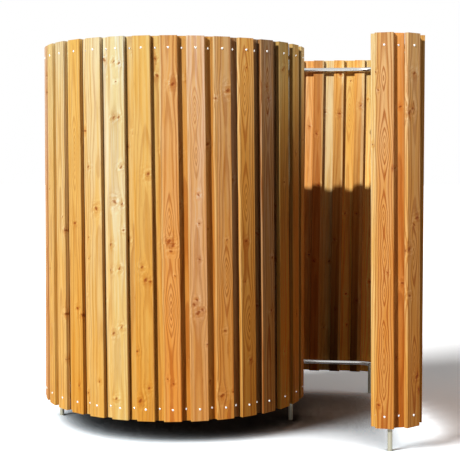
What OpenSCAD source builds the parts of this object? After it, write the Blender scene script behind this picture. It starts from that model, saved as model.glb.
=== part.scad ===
// Outdoor changing cubicle: a snail-shaped wall of upright boards on two bent tube rails and four feet.
// Millimetres. +Z is up, -Y is the front, and +X is to the right of someone facing the front.
// The course is the rails' centreline in plan. It starts at the drum's free end, beside the corridor,
// and runs clockwise seen from above: round the drum, along the back, round the corner, forward along
// the right side and round the screen end. A place on it is a distance from that start.

/* [Boards] */
// Length of every board
board_l = 2000; // [1800:10:2200]
// Thickness of every board
board_t = 24; // [20:1:26]
// Width of a board in the outer layer
outer_w = 96; // [92:0.5:97]
// Width of a board in the inner layer
inner_w = 66; // [54:0.5:70]
// Width of the last inner board, which is narrower to fit behind the last outer one
tucked_w = 59; // [50:0.5:60]
// Bevel along the boards' long edges
bevel = 2.5; // [2.5:0.5:4]
// Number of boards in the outer layer
outer_n = 46; // [46:1:47]
// Gap between the two layers
layer_gap = 1.5; // [1.5:0.5:4]
// Lean of the drum's boards in the plane of the wall, in degrees
drum_lean = 0.75; // [0:0.05:1]
// Lean of the screen's boards, in degrees
screen_lean = 0.4; // [0:0.05:1]

/* [Course] */
// Radius of the drum's rails, to the tube's centre
drum_r = 691; // [685:1:720]
// Angle of the drum's free end, from the front towards the right
free_angle = 85.2; // [80:0.1:90]
// Slant of the back wall towards the front, in degrees
back_slant = 7; // [5:0.5:9]
// Length of the straight back wall
back_l = 1044; // [1000:1:1100]
// Radius of the back right corner
corner_r = 228; // [200:1:260]
// Turn of the back right corner, in degrees
corner_turn = 86.6; // [84:0.1:88]
// Length of the straight right side
side_l = 1044; // [1000:1:1060]
// Radius of the screen end
screen_r = 116; // [115:0.5:135]
// Turn of the screen end, in degrees
screen_turn = 129; // [125:0.5:130]
// Distance from the rails' start to the middle of the first inner board
free_margin = 41; // [32:1:45]
// Distance from the middle of the last outer board to the rails' end
screen_margin = 57; // [50:1:60]
// Distance between the screen's outer boards, along the rails
screen_pitch = 107; // [106:1:116]
// Distance from the last outer board to the inner board tucked behind it
tuck = 35; // [35:1:45]

/* [Rails and feet] */
// Outside diameter of the rail tube
rail_d = 26.9; // [21.3:0.1:33.7]
// Wall thickness of the rail tube
rail_wall = 2.6; // [2:0.1:3.2]
// Distance from a board's end to the middle of the rail
rail_inset = 62; // [50:1:80]
// Height of the boards' lower ends above the floor
clearance = 127; // [100:1:160]
// Outside diameter of a foot
foot_d = 25.4; // [20:0.1:26]
// Wall thickness of a foot
foot_wall = 2; // [1.5:0.1:3]
// Thickness of the plug that closes a foot's lower end
plug_t = 12; // [8:1:20]
// Place of the foot near the drum's free end
entry_foot_at = 124; // [100:1:300]
// Place of the foot at the drum's left
left_foot_at = 2039; // [1900:1:2200]
// Place of the foot at the back
back_foot_at = 4427; // [4200:1:4500]
// Place of the foot under the screen end
screen_foot_at = 5891; // [5860:1:5910]

/* [Screws] */
// Diameter of a screw's head
head_d = 13; // [10:0.5:16]
// Height of a screw's head
head_h = 3.5; // [2.5:0.5:4]

/* [Hidden] */
$fn = 48;
// Steps in a full turn of a bent rail, whose radius is much larger than a tube's.
bend_steps = 240;

// The gap between a foot and its rail, which the weld fills.
weld_gap = 0.5;
// The height of a coped foot's horns, as a share of the rail's radius below the rail's centre.
horn_drop = 0.45;

rail_r = rail_d / 2;
inner_face = rail_r + board_t;
outer_back = inner_face + layer_gap;
outer_face = outer_back + board_t;
board_mid_z = clearance + board_l / 2;
rail_half_span = board_l / 2 - rail_inset;

// The course's legs, as [length, turn to the right in degrees].
function arc_l(radius, turn) = radius * turn * PI / 180;
drum_turn = free_angle + 180 + back_slant;
LEGS = [
    [arc_l(drum_r, drum_turn), drum_turn],
    [back_l, 0],
    [arc_l(corner_r, corner_turn), corner_turn],
    [side_l, 0],
    [arc_l(screen_r, screen_turn), screen_turn],
];
DRUM = 0;
BACK = 1;
CORNER = 2;
SIDE = 3;
SCREEN = 4;

// Where a leg begins along the course, and the length of the whole course.
function leg_start(i) = i == 0 ? 0 : leg_start(i - 1) + LEGS[i - 1][0];
course_l = leg_start(SCREEN) + LEGS[SCREEN][0];

// A place is [x, y, heading], and its outward side is on the left of the heading.
function outward(heading) = [-sin(heading), cos(heading)];
function turn_centre(place, radius) = [place.x, place.y] - radius * outward(place.z);
function on_arc(centre, radius, heading) =
    let (p = centre + radius * outward(heading)) [p.x, p.y, heading];
function along(place, leg, distance) = leg[1] == 0
    ? [place.x + distance * cos(place.z), place.y + distance * sin(place.z), place.z]
    : let (radius = leg[0] / leg[1] * 180 / PI)
      on_arc(turn_centre(place, radius), radius, place.z - leg[1] * distance / leg[0]);

// The drum's axis is the centre of the plan before the part is moved to its own origin.
function leg_place(i) = i == 0
    ? on_arc([0, 0], drum_r, free_angle - 180)
    : along(leg_place(i - 1), LEGS[i - 1], LEGS[i - 1][0]);
PLACES = [for (i = [DRUM : SCREEN]) leg_place(i)];
function leg_at(distance, i = SCREEN) =
    i == 0 || distance >= leg_start(i) ? i : leg_at(distance, i - 1);
function place_at(distance) =
    let (i = leg_at(distance)) along(PLACES[i], LEGS[i], distance - leg_start(i));

// The outer boards are evenly spaced as far as the screen's first, and closer together after it.
screen_first = outer_n - 3;
screen_first_at = course_l - screen_margin - (outer_n - 1 - screen_first) * screen_pitch;
pitch = (screen_first_at - free_margin) / (screen_first + 0.5);
function outer_at(k) = k < screen_first
    ? free_margin + (k + 0.5) * pitch
    : screen_first_at + (k - screen_first) * screen_pitch;

// An inner board stands midway between two outer ones. One more stands before the first outer board,
// and the last is tucked behind the last outer board.
function inner_at(k) = k == 0 ? free_margin
    : k < outer_n ? (outer_at(k - 1) + outer_at(k)) / 2
    : outer_at(k - 1) + tuck;

// The lean is even round the drum and changes steadily from there to the screen.
function lean_at(distance) = drum_lean + (screen_lean - drum_lean)
    * max(0, distance - LEGS[DRUM][0]) / (course_l - LEGS[DRUM][0]);

// The stretches of wall, as [name, first board, last board]. The screen has one more inner board.
STRETCHES = [
    ["drum_entry", 0, 4],
    ["drum_front", 5, 9],
    ["drum_front_left", 10, 14],
    ["drum_left", 15, 19],
    ["drum_back", 20, 24],
    ["back_near", 25, 28],
    ["back_far", 29, 32],
    ["corner", 33, 34],
    ["side_rear", 35, 38],
    ["side_front", 39, screen_first - 1],
    ["screen", screen_first, outer_n - 1],
];
last_drum_board = 24;

// The tube lengths of each rail, as [name, leg, share where it begins, share where it ends].
TUBES = [
    ["rail_drum_front", DRUM, 0, 1 / 3],
    ["rail_drum_left", DRUM, 1 / 3, 2 / 3],
    ["rail_drum_back", DRUM, 2 / 3, 1],
    ["rail_back", BACK, 0, 1],
    ["rail_corner", CORNER, 0, 1],
    ["rail_side", SIDE, 0, 1],
    ["rail_screen", SCREEN, 0, 1],
];
// The two rails, as [name, side of the boards' middle].
LEVELS = [["top", 1], ["bottom", -1]];

// The feet, as [name, distance along the course, distance inwards from it]. The left foot stands beside
// the rail, on its inner side, and the others stand under it.
FEET = [
    ["entry_foot", entry_foot_at, 0],
    ["left_foot", left_foot_at, rail_r + weld_gap + foot_d / 2],
    ["back_foot", back_foot_at, 0],
    ["screen_foot", screen_foot_at, 0],
];

// The screws, as [name, first board, last board, last inner board].
SCREWS = [
    ["drum_screws", 0, last_drum_board, last_drum_board],
    ["wall_screws", last_drum_board + 1, outer_n - 1, outer_n],
];

// The part's box in plan, from the outer boards' edges and the screw heads, sets the origin.
EDGE = [
    [outer_w / 2, outer_face - bevel],
    [outer_w / 2 - bevel, outer_face],
];
function in_plan(place, lateral, out) = [
    place.x + lateral * cos(place.z) - out * sin(place.z),
    place.y + lateral * sin(place.z) + out * cos(place.z),
];
OUTLINE = [
    for (k = [0 : outer_n - 1])
        let (place = place_at(outer_at(k)), lean = lean_at(outer_at(k)))
            each concat(
                [for (e = EDGE, side = [-1, 1], end = [-1, 1])
                    in_plan(place, side * e[0] * cos(lean) + end * board_l / 2 * sin(lean), e[1])],
                [for (end = [-1, 1])
                    in_plan(place, end * rail_half_span * sin(lean), outer_face + head_h)]
            )
];
function mid(values) = (min(values) + max(values)) / 2;
shift = -[mid([for (p = OUTLINE) p.x]), mid([for (p = OUTLINE) p.y])];

// Stands its children at a place on the course: X along the course, Y outwards.
module stand(distance) {
    place = place_at(distance);
    translate([place.x + shift.x, place.y + shift.y, 0]) rotate([0, 0, place.z]) children();
}

// A board with bevelled long edges, centred, its width along X.
module board(width) {
    x = width / 2;
    y = board_t / 2;
    linear_extrude(board_l, center = true)
        polygon([
            [bevel - x, -y], [x - bevel, -y], [x, bevel - y], [x, y - bevel],
            [x - bevel, y], [bevel - x, y], [-x, y - bevel], [-x, bevel - y],
        ]);
}

module standing_board(distance, width, back) {
    stand(distance)
        translate([0, back + board_t / 2, board_mid_z])
            rotate([0, lean_at(distance), 0])
                board(width);
}

module outer_boards(stretch) {
    color("peru")
        for (k = [stretch[1] : stretch[2]])
            standing_board(outer_at(k), outer_w, outer_back);
}

module inner_boards(stretch) {
    last = stretch[2] == outer_n - 1 ? outer_n : stretch[2];
    color("chocolate")
        for (k = [stretch[1] : last])
            standing_board(inner_at(k), k < outer_n ? inner_w : tucked_w, rail_r);
}

module tube_section() {
    difference() {
        circle(d = rail_d, $fn = 48);
        circle(d = rail_d - 2 * rail_wall, $fn = 48);
    }
}

// One length of a rail. The drum's rails start a little apart, because its boards lean.
module rail_tube(tube, side) {
    leg = LEGS[tube[1]];
    place = PLACES[tube[1]];
    lead = tube[1] == DRUM && tube[2] == 0 ? side * rail_half_span * tan(drum_lean) : 0;
    from = tube[2] * leg[0] + lead;
    to = tube[3] * leg[0];
    color("silver")
        translate([shift.x, shift.y, board_mid_z + side * rail_half_span])
            if (leg[1] == 0) {
                translate([place.x, place.y, 0])
                    rotate([0, 0, place.z]) rotate([90, 0, 90])
                        linear_extrude(to - from) tube_section();
            } else {
                radius = leg[0] / leg[1] * 180 / PI;
                centre = turn_centre(place, radius);
                translate([centre.x, centre.y, 0])
                    rotate([0, 0, place.z + 90 - leg[1] * to / leg[0]])
                        rotate_extrude(angle = leg[1] * (to - from) / leg[0], $fn = bend_steps)
                            translate([radius, 0]) tube_section();
            }
}

// A foot is a tube with a plugged lower end. One under the bottom rail is coped to fit it, and one
// beside the rail is cut square, level with the rail's top.
module foot(distance, inward) {
    rail_z = board_mid_z - rail_half_span;
    coped = inward == 0;
    color("darkgray")
        stand(distance) translate([0, -inward, 0])
            difference() {
                cylinder(d = foot_d, h = coped ? rail_z - horn_drop * rail_r : rail_z + rail_r);
                translate([0, 0, plug_t]) cylinder(d = foot_d - 2 * foot_wall, h = 2 * rail_z);
                if (coped)
                    translate([-foot_d, 0, rail_z]) rotate([0, 90, 0])
                        cylinder(r = rail_r + weld_gap, h = 2 * foot_d);
            }
}

// A domed screw head standing on a board's face, its axis along Y.
module screw_head() {
    dome_r = (head_d * head_d / 4 + head_h * head_h) / (2 * head_h);
    rotate([-90, 0, 0])
        rotate_extrude()
            intersection() {
                translate([0, head_h - dome_r]) circle(r = dome_r);
                square([head_d, head_h]);
            }
}

module screw(distance, face, side) {
    stand(distance)
        translate([0, face, board_mid_z])
            rotate([0, lean_at(distance), 0])
                translate([0, 0, side * rail_half_span]) screw_head();
}

module screws(group, side) {
    color("gainsboro") {
        for (k = [group[1] : group[2]]) screw(outer_at(k), outer_face, side);
        for (k = [group[1] : group[3]]) screw(inner_at(k), inner_face, side);
    }
}

for (s = STRETCHES) {
    outer_boards(s);
    inner_boards(s);
}
for (v = LEVELS, t = TUBES)
    rail_tube(t, v[1]);
for (v = LEVELS, s = SCREWS)
    screws(s, v[1]);
for (f = FEET)
    foot(f[1], f[2]);
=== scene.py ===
"""Outdoor changing cubicle: larch boards, steel rails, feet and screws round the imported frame."""

import math
import random

import bmesh
import bpy
import numpy as np
from bpy.props import FloatProperty, FloatVectorProperty, IntProperty, PointerProperty
from mathutils import Matrix, Vector


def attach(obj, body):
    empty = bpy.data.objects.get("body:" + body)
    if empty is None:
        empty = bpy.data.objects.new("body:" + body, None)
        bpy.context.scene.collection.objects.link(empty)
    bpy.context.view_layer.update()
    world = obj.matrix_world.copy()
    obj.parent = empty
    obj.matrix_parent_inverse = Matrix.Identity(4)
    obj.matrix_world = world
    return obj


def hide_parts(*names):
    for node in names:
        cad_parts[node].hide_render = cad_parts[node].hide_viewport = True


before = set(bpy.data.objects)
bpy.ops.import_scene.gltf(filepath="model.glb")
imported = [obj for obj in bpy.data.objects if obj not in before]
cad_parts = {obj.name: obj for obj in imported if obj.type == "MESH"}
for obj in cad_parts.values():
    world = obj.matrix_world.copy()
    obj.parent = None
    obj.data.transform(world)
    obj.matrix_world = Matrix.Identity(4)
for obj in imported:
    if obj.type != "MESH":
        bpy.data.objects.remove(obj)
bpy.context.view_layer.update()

bl_info = {
    "name": "Outdoor Changing Cubicle",
    "version": (1, 0, 0),
    "blender": (4, 5, 0),
    "location": "3D View > Sidebar > Cubicle",
    "description": "Larch boards, steel rails, feet and screws of a snail-shaped changing cubicle",
    "category": "Add Mesh",
}

MM = 0.001
BODY = "root"
LAYERS = ("outer", "inner")
LEVELS = ("top", "bottom")

# The stretches of wall, in order along the course, which starts at the drum's free end.
STRETCHES = (
    "drum_entry", "drum_front", "drum_front_left", "drum_left", "drum_back",
    "back_near", "back_far", "corner", "side_rear", "side_front", "screen",
)
TUBES = (
    "rail_drum_front", "rail_drum_left", "rail_drum_back", "rail_back",
    "rail_corner", "rail_side", "rail_screen",
)
FEET = ("entry_foot", "left_foot", "back_foot", "screen_foot")
SCREW_GROUPS = ("drum_screws", "wall_screws")


def shade(red, green, blue):
    """A display colour, 0 to 255 a channel, as linear light."""
    def linear(value):
        value /= 255
        return value / 12.92 if value <= 0.04045 else ((value + 0.055) / 1.055) ** 2.4
    return tuple(round(linear(value), 4) for value in (red, green, blue))


# ---------------------------------------------------------------- settings

def length_setting(name, description, default, low, high):
    return FloatProperty(name=name, description=description, default=default, min=low, max=high,
                         subtype="DISTANCE", unit="LENGTH", precision=4)


def colour_setting(name, description, default):
    return FloatVectorProperty(name=name, description=description, default=default, size=3,
                               min=0.0, max=1.0, subtype="COLOR")


def angle_setting(name, description, degrees):
    return FloatProperty(name=name, description=description, default=math.radians(degrees),
                         subtype="ANGLE", unit="ROTATION")


def strength_setting(name, description, default):
    return FloatProperty(name=name, description=description, default=default, min=0.0, max=10.0)


class LarchSettings(bpy.types.PropertyGroup):
    """Sizes and colours of the boards."""

    arris: length_setting("Arris", "Radius of the boards' rounded long edges", 3.0 * MM, 1 * MM, 8 * MM)
    wander: length_setting("Wander", "Most that a board's long edge strays inwards", 1.6 * MM, 0.0, 3 * MM)
    inset: length_setting("Inset", "How much narrower each board is on every side than its outline",
                          0.2 * MM, 0.0, 1 * MM)
    sections: IntProperty(name="Sections", description="Cross-sections along each board",
                          default=81, min=21, max=161)
    cream: colour_setting("Cream", "Palest sapwood boards", shade(248, 222, 150))
    straw: colour_setting("Straw", "Pale yellow boards", shade(247, 206, 122))
    honey: colour_setting("Honey", "Light golden boards", shade(246, 198, 104))
    gold: colour_setting("Gold", "Golden orange boards", shade(245, 188, 88))
    amber: colour_setting("Amber", "Deep orange boards", shade(241, 170, 74))
    tan: colour_setting("Tan", "Orange tan boards", shade(239, 172, 88))
    rose: colour_setting("Rose", "Pinkish boards", shade(240, 184, 116))
    copper: colour_setting("Copper", "Reddest boards", shade(232, 148, 62))
    umber: colour_setting("Umber", "Darkest boards", shade(214, 158, 92))
    knot: colour_setting("Knot", "Heart of a knot", shade(124, 58, 22))


class SteelSettings(bpy.types.PropertyGroup):
    """Colours of the metal pieces and sizes of the screws."""

    rail: colour_setting("Rail", "Satin steel of the rails", shade(205, 206, 204))
    foot: colour_setting("Foot", "Dull zinc of the feet", shade(196, 192, 170))
    screw: colour_setting("Screw", "Bright steel of the screws", shade(228, 228, 226))
    head: length_setting("Head", "Diameter of a screw's head", 13.0 * MM, 8 * MM, 16 * MM)
    dome: length_setting("Dome", "Height of a screw's head", 3.4 * MM, 2 * MM, 5 * MM)
    shank: length_setting("Shank", "Diameter of a screw's shank", 5.5 * MM, 3 * MM, 7 * MM)
    reach: length_setting("Reach", "Length of a screw below its head", 50.0 * MM, 20 * MM, 60 * MM)


class StageSettings(bpy.types.PropertyGroup):
    """The floor, the lamps and the camera."""

    floor: colour_setting("Floor", "The floor's tone before it is raised to white", shade(70, 70, 70))
    key_strength: strength_setting("Key strength", "Strength of the key lamp", 3.0)
    key_azimuth: angle_setting("Key azimuth", "Turn of the key lamp to the left of the front", 40)
    key_height: angle_setting("Key height", "Angle of the key lamp above the floor", 25.5)
    key_softness: angle_setting("Key softness", "Angular size of the key lamp", 1)
    floor_azimuth: angle_setting("Floor azimuth", "Turn of the floor's own lamp to the left", 58)
    floor_softness: angle_setting("Floor softness", "Angular size of the floor's own lamp", 26)
    side_strength: strength_setting("Side strength", "Strength of the soft lamp at the right", 1.1)
    side_azimuth: angle_setting("Side azimuth", "Turn of the side lamp to the left of the front", -76)
    side_height: angle_setting("Side height", "Angle of the side lamp above the floor", 35)
    side_softness: angle_setting("Side softness", "Angular size of the side lamp", 40)
    fill: strength_setting("Fill", "Strength of the soft light from all round", 0.12)


GROUPS = (LarchSettings, SteelSettings, StageSettings)


def larch():
    return bpy.context.scene.cubicle_larch


def steel():
    return bpy.context.scene.cubicle_steel


def stage():
    return bpy.context.scene.cubicle_stage


# ---------------------------------------------------------------- node building

class Nodes:
    """Builds one node tree. A value is a number, a tuple or another node's output socket."""

    def __init__(self, tree):
        self.tree = tree
        self.tree.nodes.clear()

    def add(self, kind, inputs=(), **settings):
        node = self.tree.nodes.new(kind)
        for name, value in settings.items():
            setattr(node, name, value)
        for key, value in (inputs.items() if isinstance(inputs, dict) else enumerate(inputs)):
            self.join(value, node.inputs[key])
        return node

    def result(self, kind, inputs=(), **settings):
        """The first output of a new node."""
        return self.add(kind, inputs, **settings).outputs[0]

    def join(self, value, socket):
        if isinstance(value, bpy.types.NodeSocket):
            self.tree.links.new(value, socket)
        elif value is not None:
            socket.default_value = value

    def math(self, operation, *values, clamp=False):
        return self.result("ShaderNodeMath", values, operation=operation, use_clamp=clamp)

    def times(self, first, second):
        return self.math("MULTIPLY", first, second)

    def vector(self, operation, *values):
        return self.result("ShaderNodeVectorMath", values, operation=operation)

    def scaled(self, vector, scale):
        return self.result("ShaderNodeVectorMath", {"Vector": vector, "Scale": scale}, operation="SCALE")

    def combine(self, x=0.0, y=0.0, z=0.0):
        return self.result("ShaderNodeCombineXYZ", (x, y, z))

    def split(self, vector):
        return self.add("ShaderNodeSeparateXYZ", (vector,)).outputs

    def ramp(self, value, low, high, to_low=0.0, to_high=1.0):
        """A smooth step between two values."""
        return self.result("ShaderNodeMapRange", (value, low, high, to_low, to_high),
                           interpolation_type="SMOOTHSTEP")

    def noise(self, place, scale, detail=2.0, roughness=0.5):
        """Smooth noise, from about -0.5 to 0.5."""
        raw = self.result("ShaderNodeTexNoise", {"Vector": place, "Scale": scale, "Detail": detail,
                                                 "Roughness": roughness})
        return self.math("SUBTRACT", raw, 0.5)

    def mix(self, factor, first, second):
        """From one colour to another. A plain colour is its red, green and blue."""
        first, second = (colour if isinstance(colour, bpy.types.NodeSocket) else (*colour, 1.0)
                         for colour in (first, second))
        # Inputs 6 and 7 and output 2 of this node are the ones for colours.
        return self.add("ShaderNodeMix", {0: factor, 6: first, 7: second}, data_type="RGBA",
                        clamp_factor=True).outputs[2]

    def group(self, group, inputs):
        node = self.add(self.tree.bl_idname.replace("NodeTree", "NodeGroup"))
        node.node_tree = group
        for name, value in inputs.items():
            self.join(value, node.inputs[name])
        return node.outputs


def new_group(name, kind, inputs, outputs):
    """An empty node group, as (tree, builder, its input sockets). Socket names are listed by kind."""
    tree = bpy.data.node_groups.new(name, kind)
    for way, sockets in (("OUTPUT", outputs), ("INPUT", inputs)):
        for socket_kind, titles in sockets.items():
            for title in titles:
                tree.interface.new_socket(title, in_out=way, socket_type="NodeSocket" + socket_kind)
    nodes = Nodes(tree)
    return tree, nodes, nodes.add("NodeGroupInput").outputs


def shader_nodes(owner):
    """The empty node tree of a new material or world."""
    owner.use_nodes = True
    return Nodes(owner.node_tree)


def studio_rays(nodes):
    """1 for the rays that see the white studio: the camera's, and those from metal and through glass."""
    path = nodes.add("ShaderNodeLightPath").outputs
    reflected = nodes.math("MAXIMUM", path["Is Glossy Ray"], path["Is Transmission Ray"])
    return nodes.math("MAXIMUM", path["Is Camera Ray"], reflected)


# ---------------------------------------------------------------- geometry trees

def board_row_tree():
    """One bevelled board swept along its length, on every point of a row, each with its own stray."""
    tree, nodes, given = new_group(
        "Board Row", "GeometryNodeTree",
        {"Geometry": ("Row",), "Float": ("Width", "Thickness", "Length", "Arris", "Wander"),
         "Int": ("Sections",), "Material": ("Larch",)},
        {"Geometry": ("Boards",)})
    half = nodes.times(given["Length"], 0.5)
    line = nodes.result("GeometryNodeCurvePrimitiveLine", {
        "Start": nodes.combine(z=nodes.times(half, -1.0)), "End": nodes.combine(z=half)})
    cut = nodes.result("GeometryNodeResampleCurve", {"Curve": line, "Count": given["Sections"]})
    upright = nodes.result("GeometryNodeSetCurveNormal", {"Curve": cut, "Normal": (1.0, 0.0, 0.0)},
                           mode="FREE")
    outline = nodes.result("GeometryNodeCurvePrimitiveQuadrilateral", {
        "Width": given["Width"], "Height": given["Thickness"]}, mode="RECTANGLE")
    rounded = nodes.result("GeometryNodeFilletCurve", {
        "Curve": outline, "Count": 3, "Radius": given["Arris"], "Limit Radius": True}, mode="POLY")
    swept = nodes.result("GeometryNodeCurveToMesh", {
        "Curve": upright, "Profile Curve": rounded, "Fill Caps": True})
    marked = nodes.result("GeometryNodeStoreNamedAttribute", {
        "Geometry": swept, "Name": "board_co", "Value": nodes.result("GeometryNodeInputPosition")},
        data_type="FLOAT_VECTOR", domain="POINT")

    def attribute(name, data_type):
        return nodes.add("GeometryNodeInputNamedAttribute", {"Name": name},
                         data_type=data_type).outputs["Attribute"]

    row = nodes.result("GeometryNodeInstanceOnPoints", {
        "Points": given["Row"], "Instance": marked, "Rotation": attribute("turn", "QUATERNION"),
        "Scale": attribute("share", "FLOAT_VECTOR")})
    whole = nodes.result("GeometryNodeRealizeInstances", {"Geometry": row})

    # The long edges stray inwards only, each by its own amount, so the board stays inside its outline.
    place = nodes.split(attribute("board_co", "FLOAT_VECTOR"))
    seed = attribute("seed", "FLOAT")
    side = nodes.math("SIGN", place[0])
    sample = nodes.combine(nodes.times(seed, 3.7), nodes.times(side, 2.3), nodes.times(place[2], 4.0))
    amount = nodes.math("ADD", nodes.noise(sample, 1.0, 3.0, 0.6), 0.5, clamp=True)
    stray = nodes.times(amount, given["Wander"])
    inwards = nodes.times(stray, nodes.times(side, -1.0))
    back = nodes.times(stray, nodes.times(nodes.math("SIGN", place[1]), -0.25))
    offset = nodes.result("FunctionNodeRotateVector", {
        "Vector": nodes.combine(inwards, back), "Rotation": attribute("turn", "QUATERNION")})
    moved = nodes.result("GeometryNodeSetPosition", {"Geometry": whole, "Offset": offset})
    finished = nodes.result("GeometryNodeSetMaterial", {"Geometry": moved, "Material": given["Larch"]})
    nodes.add("NodeGroupOutput", (finished,))
    return tree


def screw_row_tree():
    """One screw on every point of a row, each driven home to its own angle."""
    tree, nodes, given = new_group(
        "Screw Row", "GeometryNodeTree",
        {"Geometry": ("Row",), "Object": ("Screw",), "Int": ("Seed",), "Material": ("Steel",)},
        {"Geometry": ("Screws",)})
    turn = nodes.add("GeometryNodeInputNamedAttribute", {"Name": "turn"}, data_type="QUATERNION")
    # Input 3 and output 1 are the largest plain number that it may draw, and the number drawn.
    spin = nodes.add("FunctionNodeRandomValue", {3: math.tau, "Seed": given["Seed"]}, data_type="FLOAT")
    driven = nodes.result("FunctionNodeAxisAngleToRotation", {
        "Axis": (0.0, 1.0, 0.0), "Angle": spin.outputs[1]})
    facing = nodes.result("FunctionNodeRotateRotation", {
        "Rotation": turn.outputs["Attribute"], "Rotate By": driven}, rotation_space="LOCAL")
    screw = nodes.add("GeometryNodeObjectInfo", {"Object": given["Screw"]})
    row = nodes.result("GeometryNodeInstanceOnPoints", {
        "Points": given["Row"], "Instance": screw.outputs["Geometry"], "Rotation": facing})
    whole = nodes.result("GeometryNodeRealizeInstances", {"Geometry": row})
    finished = nodes.result("GeometryNodeSetMaterial", {"Geometry": whole, "Material": given["Steel"]})
    nodes.add("NodeGroupOutput", (finished,))
    return tree


def placed(name, data):
    """A new object in the scene."""
    made = bpy.data.objects.new(name, data)
    bpy.context.scene.collection.objects.link(made)
    return made


def grown(name, base_mesh, tree, values):
    """A plain mesh object: what a geometry tree makes of a base mesh, with its inputs set by name."""
    base = placed(name + ".base", base_mesh)
    modifier = base.modifiers.new("Shape", "NODES")
    modifier.node_group = tree
    for item in tree.interface.items_tree:
        if item.item_type == "SOCKET" and item.in_out == "INPUT" and item.name in values:
            modifier[item.identifier] = values[item.name]
    bpy.context.view_layer.update()
    shaped = base.evaluated_get(bpy.context.evaluated_depsgraph_get())
    mesh = bpy.data.meshes.new_from_object(shaped, preserve_all_data_layers=True,
                                           depsgraph=bpy.context.evaluated_depsgraph_get())
    base.modifiers.clear()
    bpy.data.objects.remove(base)
    bpy.data.meshes.remove(base_mesh)
    if not mesh.polygons:
        raise RuntimeError(f"{name}: the geometry tree {tree.name} made nothing")
    mesh.name = name
    return placed(name, mesh)


# ---------------------------------------------------------------- wood

# How far a knot's marks reach across and along the board, in radii of the knot.
HEART_REACH = (2.0, 1.15)
HALO_REACH = (2.0, 5.0)
SWIRL_REACH = (4.6, 4.8)
BEND_REACH = (3.8, 7.5)
# How fast a knot's tilt changes with its radius, so that each one lies its own way.
TILT_RATE = 7.0 / MM


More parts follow.
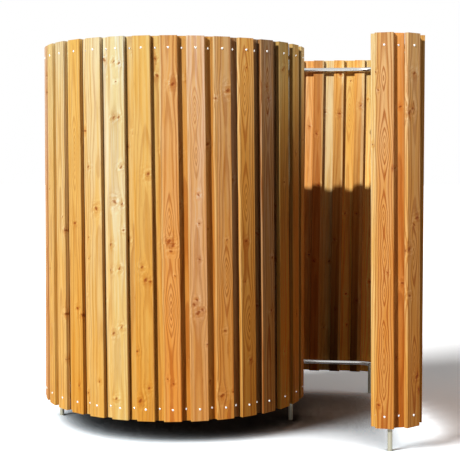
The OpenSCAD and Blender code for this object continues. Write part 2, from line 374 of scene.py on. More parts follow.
def larch_figure_group():
    """The marks of sawn larch: growth rings bent round knots, fibres, and each knot's heart and halo.

    Place is the board's own frame in metres: X across, Y through and Z along. A knot is its distance
    across and along, and its radius. An eye is its distance across and along, and how far it reaches
    along the board. The rings dip there, which closes them into loops.
    """
    tree, nodes, given = new_group(
        "Larch Figure", "ShaderNodeTree",
        {"Vector": ("Place", "Grain", "First Knot", "Second Knot", "First Eye", "Second Eye"),
         "Float": ("Seed", "Wobble")},
        {"Float": ("Latewood", "Streaks", "Fibres", "Flecks", "Drift", "Knot", "Halo", "Pale")})
    x, y, z = nodes.split(given["Place"])
    apart = nodes.scaled((1.7, 2.9, 0.83), given["Seed"])

    def sampled(across, through, along, scale_across, scale_along):
        """Where to sample a noise, so many waves to the metre across and along, apart on each board."""
        spread = nodes.vector("MULTIPLY", nodes.combine(across, through, along),
                              (scale_across, scale_across, scale_along))
        return nodes.vector("ADD", spread, apart)

    def bell(across, along, reach_across, reach_along, power=2.0):
        """A hill, 1 at its middle. A low power makes it pointed."""
        first = nodes.math("POWER", nodes.math("ABSOLUTE", nodes.math("DIVIDE", across, reach_across)), power)
        second = nodes.math("POWER", nodes.math("ABSOLUTE", nodes.math("DIVIDE", along, reach_along)), power)
        return nodes.math("EXPONENT", nodes.times(nodes.math("ADD", first, second), -1.0))

    ragged = nodes.noise(sampled(x, y, z, 130.0, 110.0), 1.0, 2.0)

    def patch(across, along, tilt, half_width, half_height, soft_from, soft_to):
        """A ragged, tilted oval, 1 inside."""
        turned = nodes.result("ShaderNodeVectorRotate", {
            "Vector": nodes.combine(across, along), "Angle": tilt}, rotation_type="Z_AXIS")
        oval = nodes.vector("DIVIDE", turned, nodes.combine(half_width, half_height, 1.0))
        size = nodes.add("ShaderNodeVectorMath", (oval,), operation="LENGTH").outputs["Value"]
        return nodes.ramp(nodes.math("MULTIPLY_ADD", ragged, 1.3, size), soft_from, soft_to, 1.0, 0.0)

    flow, hearts, halos, regions = x, [], [], []
    for knot in ("First Knot", "Second Knot"):
        across, along, radius = nodes.split(given[knot])
        bend, heart, halo, swirl = (
            [nodes.times(radius, share) for share in reach]
            for reach in (BEND_REACH, HEART_REACH, HALO_REACH, SWIRL_REACH))
        flow = nodes.math("SUBTRACT", flow, nodes.times(across, bell(across, along, *bend)))
        tilt = nodes.math("SINE", nodes.math("MULTIPLY_ADD", radius, TILT_RATE, given["Seed"]))
        hearts.append(patch(across, along, tilt, *heart, 0.3, 1.25))
        halos.append(patch(across, along, 0.0, *halo, 0.2, 1.5))
        regions.append(bell(across, along, *swirl))
    region = nodes.math("MAXIMUM", *regions)
    swirl = nodes.noise(sampled(nodes.math("MULTIPLY_ADD", z, 0.5, flow), y, z, 60.0, 50.0), 1.0, 2.0)

    # Rings lie round a pith line behind the face. Taper and wobble draw them into flames on the face.
    pith_x, depth, spacing = nodes.split(given["Grain"])
    wobble = nodes.noise(sampled(flow, y, z, 2.5, 1.9), 1.0, 1.0)
    shiver = nodes.noise(sampled(flow, y, z, 26.0, 9.0), 1.0, 2.0)
    side = nodes.math("SUBTRACT", flow, pith_x)
    behind = nodes.math("ADD", y, depth)
    rings = nodes.math("SQRT", nodes.math("ADD", nodes.times(side, side), nodes.times(behind, behind)))
    for eye in ("First Eye", "Second Eye"):
        across, along, reach = nodes.split(given[eye])
        dip = bell(across, along, nodes.times(reach, 0.26), reach, 1.3)
        rings = nodes.math("SUBTRACT", rings, nodes.times(dip, nodes.times(reach, 0.50)))
    rings = nodes.math("ADD", rings, nodes.times(wobble, given["Wobble"]))
    rings = nodes.math("ADD", rings, nodes.times(shiver, 0.0032))
    rings = nodes.math("DIVIDE", nodes.math("ADD", rings, nodes.times(z, 0.008)), spacing)
    phase = nodes.math("FRACT", rings)
    late = nodes.times(nodes.ramp(phase, 0.34, 0.76), nodes.ramp(phase, 0.86, 1.0, 1.0, 0.0))
    years = nodes.add("ShaderNodeTexWhiteNoise", noise_dimensions="2D")
    nodes.join(nodes.combine(nodes.math("FLOOR", rings), given["Seed"]), years.inputs["Vector"])
    strength = nodes.math("MULTIPLY_ADD", years.outputs["Value"], 0.45, 0.55)

    specks = nodes.noise(sampled(flow, y, z, 260.0, 16.0), 1.0, 2.0, 0.6)
    nodes.add("NodeGroupOutput", {
        "Latewood": nodes.times(late, strength),
        "Streaks": nodes.noise(sampled(flow, y, z, 75.0, 1.8), 1.0, 3.0, 0.65),
        "Fibres": nodes.noise(sampled(flow, y, z, 420.0, 9.0), 1.0, 3.0, 0.65),
        "Flecks": nodes.ramp(specks, 0.12, 0.24),
        "Drift": nodes.noise(sampled(x, y, z, 12.0, 1.6), 1.0, 2.0),
        "Knot": nodes.math("MAXIMUM", *hearts),
        "Halo": nodes.math("MAXIMUM", nodes.math("MAXIMUM", *halos),
                           nodes.times(region, nodes.ramp(swirl, -0.03, -0.14))),
        "Pale": nodes.times(region, nodes.ramp(swirl, 0.0, 0.10)),
    })
    return tree


def larch_material(name, figure):
    """Oiled larch, read from each board's own tone, sapwood edge and figure."""
    material = bpy.data.materials.new(name)
    nodes = shader_nodes(material)
    look = larch()

    def attribute(title, output="Vector"):
        return nodes.add("ShaderNodeAttribute", attribute_name=title).outputs[output]

    def stained(wood, mask, strength, stain):
        """The wood, multiplied by a stain as far as the mask and its strength say."""
        return nodes.mix(nodes.times(mask, strength), wood, nodes.vector("MULTIPLY", wood, stain))

    place = attribute("board_co")
    marks = nodes.group(figure, {
        "Place": place, "Seed": attribute("seed", "Fac"), "Grain": attribute("grain"),
        "First Knot": attribute("first_knot"), "Second Knot": attribute("second_knot"),
        "First Eye": attribute("first_eye"), "Second Eye": attribute("second_eye"), "Wobble": 0.022})
    x, _, z = nodes.split(place)

    # Each board is lighter or darker from its upper to its lower end: partly its own tone, partly painted
    # light and shade.
    # A paler, yellower edge is sapwood, or on some boards a painted highlight on the edge that the lamp
    # lights.
    top_level, bottom_level, ring_strength = nodes.split(attribute("levels"))
    upper = nodes.math("MULTIPLY_ADD", z, 0.5, 0.5, clamp=True)
    lift = nodes.times(upper, nodes.math("SUBTRACT", top_level, bottom_level))
    heartwood_and_shade = nodes.scaled(attribute("tone"), nodes.math("ADD", bottom_level, lift))
    edge_side, edge_from, _ = nodes.split(attribute("sapwood"))
    # A pale edge: sapwood, and on several boards a painted highlight on the left edge that the lamp lights.
    reach = nodes.math("MULTIPLY_ADD", marks["Drift"], 0.012, nodes.times(x, edge_side))
    pale_edge_and_highlight = nodes.ramp(nodes.math("SUBTRACT", reach, edge_from), -0.003, 0.005)
    tone = nodes.mix(nodes.times(pale_edge_and_highlight, 0.65), heartwood_and_shade, look.straw)

    # Streaks run from straw to orange, and latewood is redder and darker than the summer wood.
    warm = nodes.ramp(nodes.math("MULTIPLY_ADD", marks["Drift"], 0.5, marks["Streaks"]), -0.13, 0.13)
    wood = nodes.vector("MULTIPLY", tone, nodes.mix(warm, (1.04, 1.09, 1.25), (0.96, 0.86, 0.66)))
    wood = stained(wood, marks["Latewood"], ring_strength, (0.60, 0.36, 0.20))
    wood = stained(wood, marks["Flecks"], 0.45, (0.66, 0.46, 0.30))
    wood = stained(wood, nodes.ramp(marks["Streaks"], -0.10, -0.20), 0.55, (0.76, 0.56, 0.40))

    # Each board grows paler and bluer towards its upper end and more orange towards its lower end.
    wood = nodes.vector("MULTIPLY", wood, nodes.mix(
        nodes.math("POWER", upper, 1.5), (0.96, 0.83, 0.66), (1.04, 1.25, 2.00)))
    level = nodes.math("MULTIPLY_ADD", marks["Fibres"], 0.30, 1.06)
    level = nodes.math("MULTIPLY_ADD", marks["Drift"], 0.22, level)
    wood = nodes.scaled(wood, level)

    # Round a knot darker and paler wood swirl together. Its core is the darkest.
    wood = stained(wood, marks["Halo"], 0.7, (0.80, 0.60, 0.42))
    wood = stained(wood, marks["Pale"], 1.0, (1.16, 1.40, 1.90))
    wood = stained(wood, marks["Knot"], 0.9, (0.64, 0.36, 0.20))
    core = nodes.ramp(marks["Knot"], 0.75, 1.0)
    wood = nodes.mix(nodes.times(core, 0.35), wood, look.knot)

    # Sawn ends drink in more of the oil.
    faces_up = nodes.split(nodes.add("ShaderNodeNewGeometry").outputs["Normal"])[2]
    ends = nodes.ramp(nodes.math("ABSOLUTE", faces_up), 0.7, 0.9)
    wood = stained(wood, ends, 0.55, (0.62, 0.52, 0.42))

    # Boards throw less of their colour on each other, which keeps the gaps between them deep.
    bounced = nodes.add("ShaderNodeLightPath").outputs["Is Diffuse Ray"]
    wood = stained(wood, bounced, 1.0, (0.52, 0.49, 0.62))

    height = nodes.math("MULTIPLY_ADD", marks["Fibres"], 0.5, nodes.times(marks["Latewood"], 0.35))
    height = nodes.math("MULTIPLY_ADD", marks["Streaks"], 0.5, height)
    height = nodes.math("MULTIPLY_ADD", marks["Pale"], 0.5, height)
    bump = nodes.result("ShaderNodeBump", {"Strength": 0.55, "Distance": 0.0012, "Height": height})
    roughness = nodes.math("MULTIPLY_ADD", marks["Fibres"], 0.25, 0.58)
    surface = nodes.result("ShaderNodeBsdfPrincipled", {
        "Base Color": wood, "Roughness": roughness, "Normal": bump, "Specular IOR Level": 0.12})
    nodes.add("ShaderNodeOutputMaterial", (surface,))
    return material


# ---------------------------------------------------------------- what each board shows

class Look:
    """One board's marks, in millimetres. Across is along the course from the board's middle, which is to
    the left for someone facing the board from outside, and down is the distance below its upper end."""

    def __init__(self, tone, levels=(1, 1), sapwood=None, pith=None, spacing=None, knots=None, eyes=(),
                 rings=0.6):
        self.tone = tone          # the name of a larch colour
        self.levels = levels      # how light it is at its upper and lower end: partly its own tone, partly painted light and shade
        self.rings = rings        # how strongly its growth rings show
        self.sapwood = sapwood    # (side, distance from the middle where it begins): sapwood, or a painted highlight on a lit edge
        self.pith = pith          # (across, depth behind the face)
        self.spacing = spacing    # between growth rings
        self.knots = knots        # [(across, down, radius)]
        self.eyes = eyes          # [(across, down, reach along the board)]


# The boards that show most, by their number along the course. Their levels are partly their own tone and
# partly painted light and shade, and a pale left edge on several of them is a painted highlight where the
# lamp falls.
OUTER_LOOKS = {
    0: Look("honey", (0.8, 0.85)),
    1: Look("gold", (0.76, 1.12), knots=[(0, 600, 4), (-10, 1500, 5)]),
    2: Look("gold", (0.70, 1.55), knots=[(0, 140, 6), (12, 150, 5), (0, 760, 4), (5, 1690, 4)]),
    3: Look("umber", (0.70, 1.0), pith=(0, 26), spacing=9.0, rings=1.0, eyes=[(0, 270, 80)],
            knots=[(5, 250, 5), (-8, 310, 5), (0, 390, 4), (-30, 1165, 5), (-20, 1450, 6)]),
    4: Look("amber", (1.27, 0.68), sapwood=(1, 42), pith=(14, 24), spacing=13.0, rings=1.0,
            eyes=[(14, 270, 110), (8, 860, 90), (-8, 1500, 120)],
            knots=[(0, 155, 4), (12, 1067, 6), (20, 1280, 4), (-10, 1700, 5)]),
    5: Look("tan", (0.98, 1.08), sapwood=(1, 42), pith=(-14, 34), spacing=10.0, rings=0.8,
            eyes=[(-10, 1250, 90)],
            knots=[(-30, 280, 10), (40, 320, 5), (-15, 1057, 4), (0, 1534, 5), (20, 1872, 10),
                   (-45, 1860, 5)]),
    6: Look("rose", (1.22, 1.05), sapwood=(1, 44), pith=(6, 40), spacing=10.5, rings=0.7,
            eyes=[(10, 380, 80), (4, 620, 60)],
            knots=[(-5, 821, 5), (-8, 969, 4), (-8, 1156, 4), (10, 1365, 6), (25, 1390, 6),
                   (4, 1432, 9), (-20, 1420, 6), (-44, 1600, 4)]),
    7: Look("tan", (1.02, 1.14), sapwood=(1, 38), pith=(4, 26), spacing=12.0, rings=0.9,
            eyes=[(6, 960, 80), (2, 1420, 110)],
            knots=[(-22, 250, 8), (8, 1060, 8), (-12, 1085, 9), (0, 1112, 6), (-20, 1239, 3),
                   (25, 1776, 4), (-5, 1800, 4)]),
    8: Look("gold", (1.02, 1.0), pith=(-20, 70), spacing=9.0, rings=0.4,
            knots=[(-30, 715, 8), (10, 1195, 6), (-8, 1262, 7), (-35, 1270, 5), (44, 1635, 5),
                   (-20, 1826, 6), (28, 1893, 8)]),
    9: Look("cream", (1.02, 1.05), pith=(10, 90), spacing=9.0, rings=0.35,
            knots=[(10, 130, 5), (-20, 140, 5), (0, 235, 4), (15, 420, 6), (-15, 420, 5), (-26, 677, 6),
                   (16, 858, 9), (-28, 870, 5), (-34, 1006, 5), (46, 1085, 6), (46, 1217, 6),
                   (-8, 1206, 6), (-15, 1513, 6), (32, 1547, 7), (20, 1889, 6)]),
    10: Look("straw", pith=(-30, 80), spacing=8.5, rings=0.4,
             knots=[(40, 677, 5), (-12, 896, 8), (43, 1050, 3), (42, 1160, 3), (-20, 1810, 4)]),
    11: Look("gold", (1.05, 1.0), pith=(4, 36), spacing=10.0, rings=0.6, eyes=[(0, 620, 120)],
             knots=[(5, 978, 5), (-10, 1435, 6), (-46, 1468, 7), (-15, 1850, 4)]),
    12: Look("straw", (0.98, 1.06), sapwood=(1, 36),
             knots=[(-20, 950, 3), (-44, 1020, 6), (-45, 1475, 8), (-42, 1722, 4)]),
    13: Look("honey", (1.02, 1.05), sapwood=(1, 34), knots=[(20, 800, 4), (25, 1240, 4)]),
    30: Look("tan", (1.16, 1.15), knots=[(10, 420, 4), (20, 1250, 5)]),
    31: Look("straw", (1.08, 0.8), pith=(10, 90), rings=0.4,
             knots=[(-20, 330, 5), (20, 1290, 5), (-8, 1720, 4)]),
    32: Look("gold", (1.05, 1.2), pith=(0, 50), eyes=[(6, 330, 90)],
             knots=[(10, 130, 4), (-14, 980, 5), (0, 1500, 5), (10, 1700, 4)]),
    33: Look("honey", (0.88, 1.9), pith=(16, 70), knots=[(-22, 250, 4), (20, 640, 5), (14, 1420, 6)]),
    44: Look("tan", (1.05, 0.75), sapwood=(1, 45), pith=(-6, 30), spacing=12.0, rings=0.9,
             eyes=[(6, 380, 60), (6, 1110, 90), (-4, 1680, 90)],
             knots=[(0, 202, 8), (10, 380, 7), (34, 398, 9), (-22, 932, 8), (0, 965, 6), (38, 1090, 9),
                    (32, 1325, 7), (-26, 1741, 9), (-38, 1811, 5)]),
    45: Look("tan", (0.98, 0.92), sapwood=(1, 36), pith=(0, 16), spacing=13.0, rings=1.0,
             knots=[(44, 197, 4), (30, 288, 4), (-40, 680, 3), (-14, 1205, 4), (30, 1880, 5)],
             eyes=[(4, 229, 48), (-2, 567, 95), (5, 918, 75), (-1, 1110, 80), (0, 1310, 62),
                   (5, 1507, 55), (2, 1660, 75), (4, 1808, 42)]),
}
# Painted shade: the inner boards on the drum's shaded side (1 to 5) and at the screen's far edge (44) are
# dark umber, and the back wall's inner boards grow dark towards their lower ends, where the shadow falls.
INNER_LOOKS = {
    1: Look("umber", (0.4, 0.3)), 2: Look("umber", (0.4, 0.3)),
    3: Look("umber", (0.5, 0.4)), 4: Look("umber", (0.6, 0.5)),
    5: Look("umber", (0.75, 0.7)), 6: Look("amber"), 7: Look("amber"), 8: Look("gold"),
    9: Look("honey"), 10: Look("cream"), 11: Look("straw"), 12: Look("honey"), 13: Look("honey"),
    31: Look("copper", (0.8, 0.6), knots=[(-8, 470, 5), (10, 800, 5), (-12, 1290, 5)]),
    32: Look("amber", (1.05, 0.10), knots=[(10, 90, 6), (6, 340, 6), (-14, 1150, 5), (0, 1600, 4)]),
    33: Look("amber", (1.15, 0.15), sapwood=(1, 12),
             knots=[(10, 290, 6), (-6, 980, 5), (4, 1540, 6)]),
    44: Look("umber", (0.45, 0.4)),
    45: Look("copper", (1.4, 0.95), sapwood=(1, 60),
             knots=[(-7, 371, 5), (22, 680, 4), (-20, 1262, 6), (14, 1640, 4)]),
    46: Look("straw", knots=[(-22, 440, 4), (20, 560, 4)]),
}
# What the other boards draw their tone from.
COMMON_TONES = {"outer": ("honey", "gold", "tan", "straw", "amber", "rose", "cream"),
                "inner": ("amber", "tan", "copper", "gold", "honey")}
# A mark for a board that has none: a metre away across and along, with next to no reach.
NO_MARK = (1.0, 1.0, 0.1 * MM)
# The seeds of what each layer leaves to chance, and the seed of its first board's figure.
CHANCE_SEEDS = {"outer": 5, "inner": 6}
FIGURE_SEEDS = {"outer": 1, "inner": 61}
# How much of the wander setting each layer takes.
WANDER_SHARE = {"outer": 1.0, "inner": 0.5}


def finished_look(layer, number, half_width, chance):
    """The board's look, with what it leaves open drawn by chance."""
    known = (OUTER_LOOKS if layer == "outer" else INNER_LOOKS).get(number)
    edge = half_width / MM
    drawn = Look(
        chance.choice(COMMON_TONES[layer]),
        sapwood=(chance.choice((-1, 1)), edge * chance.uniform(0.55, 1.5)),
        pith=(chance.uniform(-0.8, 0.8) * edge, chance.uniform(22, 90)),
        spacing=chance.uniform(7.0, 11.0),
        knots=[(chance.uniform(-1, 1) * edge, chance.uniform(60, 1940), chance.uniform(2.5, 7.5))
               for _ in range(chance.randint(2, 6))],
        eyes=[(chance.uniform(-0.5, 0.5) * edge, chance.uniform(200, 1800), chance.uniform(50, 120))
              for _ in range(chance.randint(0, 3))])
    if known is None:
        return drawn
    return Look(known.tone, known.levels, known.sapwood or drawn.sapwood, known.pith or drawn.pith,
                known.spacing or drawn.spacing, drawn.knots if known.knots is None else known.knots,
                known.eyes, known.rings)


# ---------------------------------------------------------------- places from the frame

def islands(node):
    """The points of each separate solid of a CAD node."""
    mesh = bmesh.new()
    mesh.from_mesh(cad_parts[node].data)
    bmesh.ops.remove_doubles(mesh, verts=mesh.verts, dist=0.01 * MM)
    found, seen = [], set()
    for start in mesh.verts:
        if start in seen:
            continue
        seen.add(start)
        reached, waiting = [], [start]
        while waiting:
            vertex = waiting.pop()
            reached.append(tuple(vertex.co))
            for edge in vertex.link_edges:
                other = edge.other_vert(vertex)
                if other not in seen:
                    seen.add(other)
                    waiting.append(other)
        found.append(np.array(reached))
    mesh.free()
    return found


class Board:
    """A board's own frame from its corners: X along the course, Y outwards and Z up its length."""

    def __init__(self, points, heads):
        height = points[:, 2]
        upper, lower = points[height > height.mean()], points[height < height.mean()]
        self.middle = Vector((upper.mean(0) + lower.mean(0)) / 2)
        self.up = Vector(upper.mean(0) - lower.mean(0)).normalized()
        plan = (upper - upper.mean(0))[:, :2]
        thin = np.linalg.eigh(plan.T @ plan)[1][:, 0]
        self.out = Vector((*thin, 0.0))
        nearest = min(heads, key=lambda head: self.off_axis(head).length)
        if self.off_axis(nearest).dot(self.out) < 0:
            self.out.negate()
        self.along = self.out.cross(self.up).normalized()
        self.turn = Matrix((self.along, self.out, self.up)).transposed().to_quaternion()
        spread = points - np.array(self.middle)
        self.width, self.thickness, self.length = (
            float(np.ptp(spread @ np.array(axis))) for axis in (self.along, self.out, self.up))

    def off_axis(self, point):
        """From the board's long axis to a point, squarely."""
        away = Vector(point) - self.middle
        return away - self.up * away.dot(self.up)


def head_places():
    """The middle of each CAD screw head, by node."""
    return {f"{level}_{group}": [(p.max(0) + p.min(0)) / 2 for p in islands(f"{level}_{group}")]
            for level in LEVELS for group in SCREW_GROUPS}


HEADS = head_places()
ALL_HEADS = [head for heads in HEADS.values() for head in heads]


def boards_of(layer):
    """Every board of a layer in order along the course, as [(stretch, [boards])]."""
    rows = []
    for stretch in STRETCHES:
        row = [Board(points, ALL_HEADS) for points in islands(f"{stretch}_{layer}_boards")]
        ahead = sum((board.along for board in row), Vector())
        rows.append((stretch, sorted(row, key=lambda board: board.middle.dot(ahead))))
    return rows


ROWS = {layer: boards_of(layer) for layer in LAYERS}


# ---------------------------------------------------------------- boards

# The kind of attribute that holds so many numbers for each point, and the name of its value.
ATTRIBUTE_KINDS = {1: ("FLOAT", "value"), 3: ("FLOAT_VECTOR", "vector"), 4: ("QUATERNION", "value")}


def write_attribute(mesh, name, values, domain="POINT"):
    """Stores a number, a vector or a turn for every point, or for every face corner."""
    values = np.asarray(values, np.float32)
    kind, key = ATTRIBUTE_KINDS[1 if values.ndim == 1 else values.shape[1]]
    mesh.attributes.new(name, kind, domain).data.foreach_set(key, values.ravel())


def read_values(items, key, kind, width=1):
    """One property of every item, in rows of so many numbers."""
    values = np.empty(len(items) * width, kind)
    items.foreach_get(key, values)
    return values.reshape(-1, width) if width > 1 else values


def row_mesh(name, places, turns):
    """A mesh of loose points, each with its turn."""
    mesh = bpy.data.meshes.new(name + ".row")
    mesh.from_pydata([tuple(place) for place in places], [], [])
    write_attribute(mesh, "turn", [tuple(turn) for turn in turns])
    return mesh


def mark_boards(mesh, looks, length):
    """Writes, for every face corner, how far it is from the nearest knots and eyes of its own board."""
    loop_vertex = read_values(mesh.loops, "vertex_index", np.int32)
    place = read_values(mesh.attributes["board_co"].data, "vector", np.float32, 3)[loop_vertex]
    owner = read_values(mesh.attributes["board"].data, "value", np.float32)[loop_vertex].round()
    starts = read_values(mesh.polygons, "loop_start", np.int32)
    totals = read_values(mesh.polygons, "loop_total", np.int32)
    # One height for each face, so that all its corners agree on which mark is the nearest.
    face_z = np.add.reduceat(place[:, 2], starts) / totals
    loop_z = np.repeat(face_z, totals)

    names = ("first_knot", "second_knot", "first_eye", "second_eye")
    values = {name: np.tile(NO_MARK, (len(place), 1)) for name in names}
    for number, look in enumerate(looks):
        own = owner == number
        knots, eyes = (sorted(marks, key=lambda mark: mark[1]) for marks in (look.knots, look.eyes))
        for name, marks in zip(names, (knots[::2], knots[1::2], eyes[::2], eyes[1::2])):
            if not marks:
                continue
            marks = np.array(marks, float) * MM
            along = length / 2 - marks[:, 1]
            near = np.abs(loop_z[own, None] - along[None, :]).argmin(1)
            values[name][own] = np.stack((place[own, 0] - marks[near, 0], place[own, 2] - along[near],
                                          marks[near, 2]), 1)
    for name in names:
        write_attribute(mesh, name, values[name], "CORNER")


def make_boards(layer):
    sizes = larch()
    tree = board_row_tree()
    figure = bpy.data.node_groups.get("Larch Figure") or larch_figure_group()
    material = larch_material(f"{layer}_larch", figure)
    chance = random.Random(CHANCE_SEEDS[layer])
    number = 0
    for stretch, boards in ROWS[layer]:
        name = f"{stretch}_{layer}_larch"
        looks, seeds = [], []
        for board in boards:
            looks.append(finished_look(layer, number, board.width / 2, chance))
            seeds.append(FIGURE_SEEDS[layer] + number)
            number += 1
        first = boards[0]
        row = row_mesh(name, [board.middle for board in boards], [board.turn for board in boards])
        lightness = [chance.uniform(0.95, 1.04) for _ in boards]
        tones = [getattr(sizes, look.tone) for look in looks]
        for title, values in {
            "board": range(len(boards)),
            "seed": seeds,
            "tone": [[level * channel for channel in tone] for tone, level in zip(tones, lightness)],
            "levels": [(*look.levels, look.rings) for look in looks],
            "sapwood": [(look.sapwood[0], look.sapwood[1] * MM, 0) for look in looks],
            "grain": [(look.pith[0] * MM, look.pith[1] * MM, look.spacing * MM) for look in looks],
            "share": [(board.width / first.width, 1, 1) for board in boards],
        }.items():
            write_attribute(row, title, values)
        piece = grown(name, row, tree, {
            "Width": first.width - 2 * sizes.inset, "Thickness": first.thickness - 2 * sizes.inset,
            "Length": first.length - 2 * sizes.inset, "Arris": sizes.arris, "Sections": sizes.sections,
            "Wander": sizes.wander * WANDER_SHARE[layer], "Larch": material})
        mark_boards(piece.data, looks, first.length)
        piece.data.shade_flat()
        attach(piece, BODY)
        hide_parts(f"{stretch}_{layer}_boards")


# ---------------------------------------------------------------- metal

def steel_material(name, colour, roughness, lines, metallic=1.0):
    """Brushed steel: fine level lines, clouded a little in brightness and gloss."""
    material = bpy.data.materials.new(name)
    nodes = shader_nodes(material)
    place = nodes.add("ShaderNodeTexCoord").outputs["Object"]
    brushed = nodes.noise(nodes.vector("MULTIPLY", place, (30.0, 30.0, lines)), 1.0, 2.0, 0.6)
    cloud = nodes.noise(place, 9.0, 3.0, 0.55)
    level = nodes.math("MULTIPLY_ADD", cloud, 0.25, nodes.math("MULTIPLY_ADD", brushed, 0.12, 1.0))
    bump = nodes.result("ShaderNodeBump", {"Strength": 0.08, "Distance": 0.0003, "Height": brushed})
    surface = nodes.result("ShaderNodeBsdfPrincipled", {
        "Base Color": nodes.scaled(tuple(colour), level), "Metallic": metallic, "Normal": bump,
        "Roughness": nodes.math("MULTIPLY_ADD", cloud, 0.30,
                                nodes.math("MULTIPLY_ADD", brushed, 0.20, roughness))})
    nodes.add("ShaderNodeOutputMaterial", (surface,))
    return material


def finish_cad(names, material):
    for name in names:
        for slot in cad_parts[name].material_slots:
            slot.material = material


SCREW_SIDES = 12


def screw_mesh():
    """A pan-head screw with a hexagon recess, its axis along Y and its head standing on the plane y = 0."""
    look = steel()
    head, dome, shank, reach = look.head / 2, look.dome, look.shank / 2, look.reach
    # Each ring is (radius, height, share by which every other point is drawn in).
    rings = [(shank, -reach, 0.0), (shank, 0.0, 0.0), (head, 0.0, 0.0), (0.93 * head, 0.42 * dome, 0.0),
             (0.62 * head, 0.85 * dome, 0.0), (0.36 * head, 0.98 * dome, 0.12),
             (0.34 * head, 0.35 * dome, 0.12)]
    mesh = bmesh.new()
    made = []
    for radius, height, drawn_in in rings:
        made.append([mesh.verts.new((
            radius * (1 - drawn_in * (i % 2)) * math.cos(math.tau * i / SCREW_SIDES), height,
            radius * (1 - drawn_in * (i % 2)) * math.sin(math.tau * i / SCREW_SIDES)))
            for i in range(SCREW_SIDES)])
    for lower, upper in zip(made, made[1:]):
        for i in range(SCREW_SIDES):
            j = (i + 1) % SCREW_SIDES
            mesh.faces.new((lower[i], lower[j], upper[j], upper[i]))
    mesh.faces.new(made[-1])
    mesh.faces.new(made[0][::-1])
    bmesh.ops.recalc_face_normals(mesh, faces=mesh.faces)
    data = bpy.data.meshes.new("screw")
    mesh.to_mesh(data)
    mesh.free()
    data.shade_smooth()
    data.set_sharp_from_angle(angle=math.radians(38))
    return data


def make_screws():
    look = steel()
    tree = screw_row_tree()
    material = steel_material("screw_steel_bright", look.screw, 0.26, 400.0)
    pattern = placed("screw_pattern", screw_mesh())
    boards = [board for layer in LAYERS for _, row in ROWS[layer] for board in row]
    for number, (node, heads) in enumerate(HEADS.items()):
        places, turns = [], []
        for head in heads:
            board = min(boards, key=lambda b: b.off_axis(head).length)
            height = (Vector(head) - board.middle).dot(board.up)
            places.append(board.middle + board.up * height + board.out * (board.thickness / 2))
            turns.append(board.turn)
        name = node.replace("screws", "pan_screws")
        piece = grown(name, row_mesh(name, places, turns), tree,
                      {"Screw": pattern, "Seed": number, "Steel": material})
        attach(piece, BODY)
        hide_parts(node)
    bpy.data.objects.remove(pattern)


def make_rails():
    names = [f"{level}_{tube}" for level in LEVELS for tube in TUBES]
    finish_cad(names, steel_material("rail_satin", steel().rail, 0.20, 900.0))


def make_feet():
    finish_cad(FEET, steel_material("foot_zinc", steel().foot, 0.40, 500.0, 0.3))


# ---------------------------------------------------------------- stage

def floor_material():
    """A floor that shows white where the lamps reach it and keeps the shadow, painted darkest close
    underneath.

    It is pale to the camera and in the metal, and dark to all other rays, so that it throws little light
    back. In the shade it is painted a little bluer, against the orange light that the boards throw on it.
    """
    material = bpy.data.materials.new("floor_paper")
    nodes = shader_nodes(material)
    open_air = nodes.add("ShaderNodeAmbientOcclusion", {"Distance": 3.0}, samples=24).outputs["AO"]
    # Painted shade colour: where little open air reaches the floor it is painted bluer, against the boards'
    # orange light.
    shade_tint = nodes.mix(nodes.ramp(open_air, 0.4, 0.9), (0.91, 1.0, 1.05), (1.0, 1.0, 1.0))
    shade_tint = nodes.mix(nodes.ramp(open_air, 0.16, 0.36), (0.85, 1.03, 1.15), shade_tint)
    # The open floor is raised to white, and the floor close underneath the boards is held down as painted
    # shade.
    gain_and_painted_shade = nodes.scaled(shade_tint, nodes.ramp(open_air, 0.17, 0.52, 0.4, 46.0))
    raised = nodes.mix(studio_rays(nodes), (1.0, 1.0, 1.0), gain_and_painted_shade)
    tone = nodes.vector("MULTIPLY", tuple(stage().floor), raised)
    surface = nodes.result("ShaderNodeBsdfDiffuse", {"Color": tone})
    nodes.add("ShaderNodeOutputMaterial", (surface,))
    return material


def make_floor():
    reach = 60.0
    corners = [(x * reach, y * reach, 0.0) for x, y in ((-1, -1), (1, -1), (1, 1), (-1, 1))]
    mesh = bpy.data.meshes.new("floor")
    mesh.from_pydata(corners, [], [(0, 1, 2, 3)])
    mesh.materials.append(floor_material())
    floor = placed("floor", mesh)
    return floor


def make_sun(name, strength, azimuth, height, softness):
    lamp = bpy.data.lights.new(name, "SUN")
    lamp.energy = strength
    lamp.angle = softness
    sun = placed(name, lamp)
    sun.rotation_euler = (math.pi / 2 - height, 0.0, -azimuth)
    return sun


def make_light(floor):
    """The key has crisp edges on the object. The floor takes its own soft lamp in the key's place."""
    look = stage()
    key = make_sun("key", look.key_strength, look.key_azimuth, look.key_height, look.key_softness)
    below = make_sun("floor_key", look.key_strength, look.floor_azimuth, look.key_height, look.floor_softness)
    side = make_sun("side", look.side_strength, look.side_azimuth, look.side_height, look.side_softness)
    for lamp, state in ((key, "EXCLUDE"), (side, "EXCLUDE"), (below, "INCLUDE")):
        lit = bpy.data.collections.new(lamp.name + "_receivers")
        lit.objects.link(floor)
        lit.collection_objects[0].light_linking.link_state = state
        lamp.light_linking.receiver_collection = lit

    world = bpy.data.worlds.new("studio")
    bpy.context.scene.world = world
    nodes = shader_nodes(world)
    strength = nodes.math("MULTIPLY_ADD", studio_rays(nodes), 1.0 - look.fill, look.fill)
    sky = nodes.result("ShaderNodeBackground", {"Color": (1.0, 1.0, 1.0, 1.0), "Strength": strength})
    nodes.add("ShaderNodeOutputWorld", (sky,))


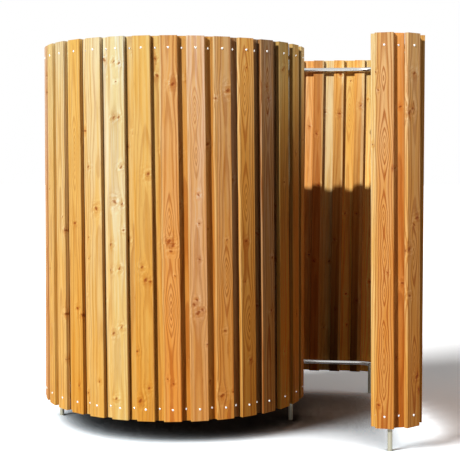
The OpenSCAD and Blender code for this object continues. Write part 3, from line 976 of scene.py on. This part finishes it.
def make_camera():
    data = bpy.data.cameras.new("camera")
    data.sensor_width = 36.0
    data.lens = 82.95
    data.shift_y = -0.0734
    data.clip_end = 200.0
    camera = placed("camera", data)
    camera.location = (0.002, -6.142, 1.4785)
    camera.rotation_euler = (math.radians(88.128), math.radians(-0.08), 0.0)
    bpy.context.scene.camera = camera


# ---------------------------------------------------------------- operators and panel

class CUBICLE_OT_outer_boards(bpy.types.Operator):
    """Stand the outer layer of larch boards on the rails"""

    bl_idname = "cubicle.outer_boards"
    bl_label = "Outer Boards"

    def execute(self, context):
        make_boards("outer")
        return {"FINISHED"}


class CUBICLE_OT_inner_boards(bpy.types.Operator):
    """Stand the inner layer of larch boards against the rails"""

    bl_idname = "cubicle.inner_boards"
    bl_label = "Inner Boards"

    def execute(self, context):
        make_boards("inner")
        return {"FINISHED"}


class CUBICLE_OT_rails(bpy.types.Operator):
    """Finish the two bent rails in satin steel"""

    bl_idname = "cubicle.rails"
    bl_label = "Rails"

    def execute(self, context):
        make_rails()
        return {"FINISHED"}


class CUBICLE_OT_feet(bpy.types.Operator):
    """Finish the four feet in dull zinc"""

    bl_idname = "cubicle.feet"
    bl_label = "Feet"

    def execute(self, context):
        make_feet()
        return {"FINISHED"}


class CUBICLE_OT_screws(bpy.types.Operator):
    """Drive a screw through every board into each rail"""

    bl_idname = "cubicle.screws"
    bl_label = "Screws"

    def execute(self, context):
        make_screws()
        return {"FINISHED"}


class CUBICLE_OT_stage(bpy.types.Operator):
    """Set out the floor, the lamps and the camera"""

    bl_idname = "cubicle.stage"
    bl_label = "Stage"

    def execute(self, context):
        context.scene.view_settings.view_transform = "Standard"
        make_light(make_floor())
        make_camera()
        return {"FINISHED"}


OPERATORS = (CUBICLE_OT_outer_boards, CUBICLE_OT_inner_boards, CUBICLE_OT_rails, CUBICLE_OT_feet,
             CUBICLE_OT_screws, CUBICLE_OT_stage)


class CUBICLE_PT_panel(bpy.types.Panel):
    """Every step of the cubicle, with the sizes and colours that it reads"""

    bl_label = "Changing Cubicle"
    bl_space_type = "VIEW_3D"
    bl_region_type = "UI"
    bl_category = "Cubicle"

    def draw(self, context):
        for settings in (larch(), steel(), stage()):
            column = self.layout.column(align=True)
            for name in settings.__annotations__:
                column.prop(settings, name)
        for operator in OPERATORS:
            self.layout.operator(operator.bl_idname)


def register():
    for cls in (*GROUPS, *OPERATORS, CUBICLE_PT_panel):
        bpy.utils.register_class(cls)
    bpy.types.Scene.cubicle_larch = PointerProperty(type=LarchSettings)
    bpy.types.Scene.cubicle_steel = PointerProperty(type=SteelSettings)
    bpy.types.Scene.cubicle_stage = PointerProperty(type=StageSettings)


def unregister():
    del bpy.types.Scene.cubicle_larch, bpy.types.Scene.cubicle_steel, bpy.types.Scene.cubicle_stage
    for cls in reversed((*GROUPS, *OPERATORS, CUBICLE_PT_panel)):
        bpy.utils.unregister_class(cls)


def main():
    register()
    bpy.ops.cubicle.outer_boards()
    bpy.ops.cubicle.inner_boards()
    bpy.ops.cubicle.rails()
    bpy.ops.cubicle.feet()
    bpy.ops.cubicle.screws()
    bpy.ops.cubicle.stage()


if __name__ == "__main__":
    main()
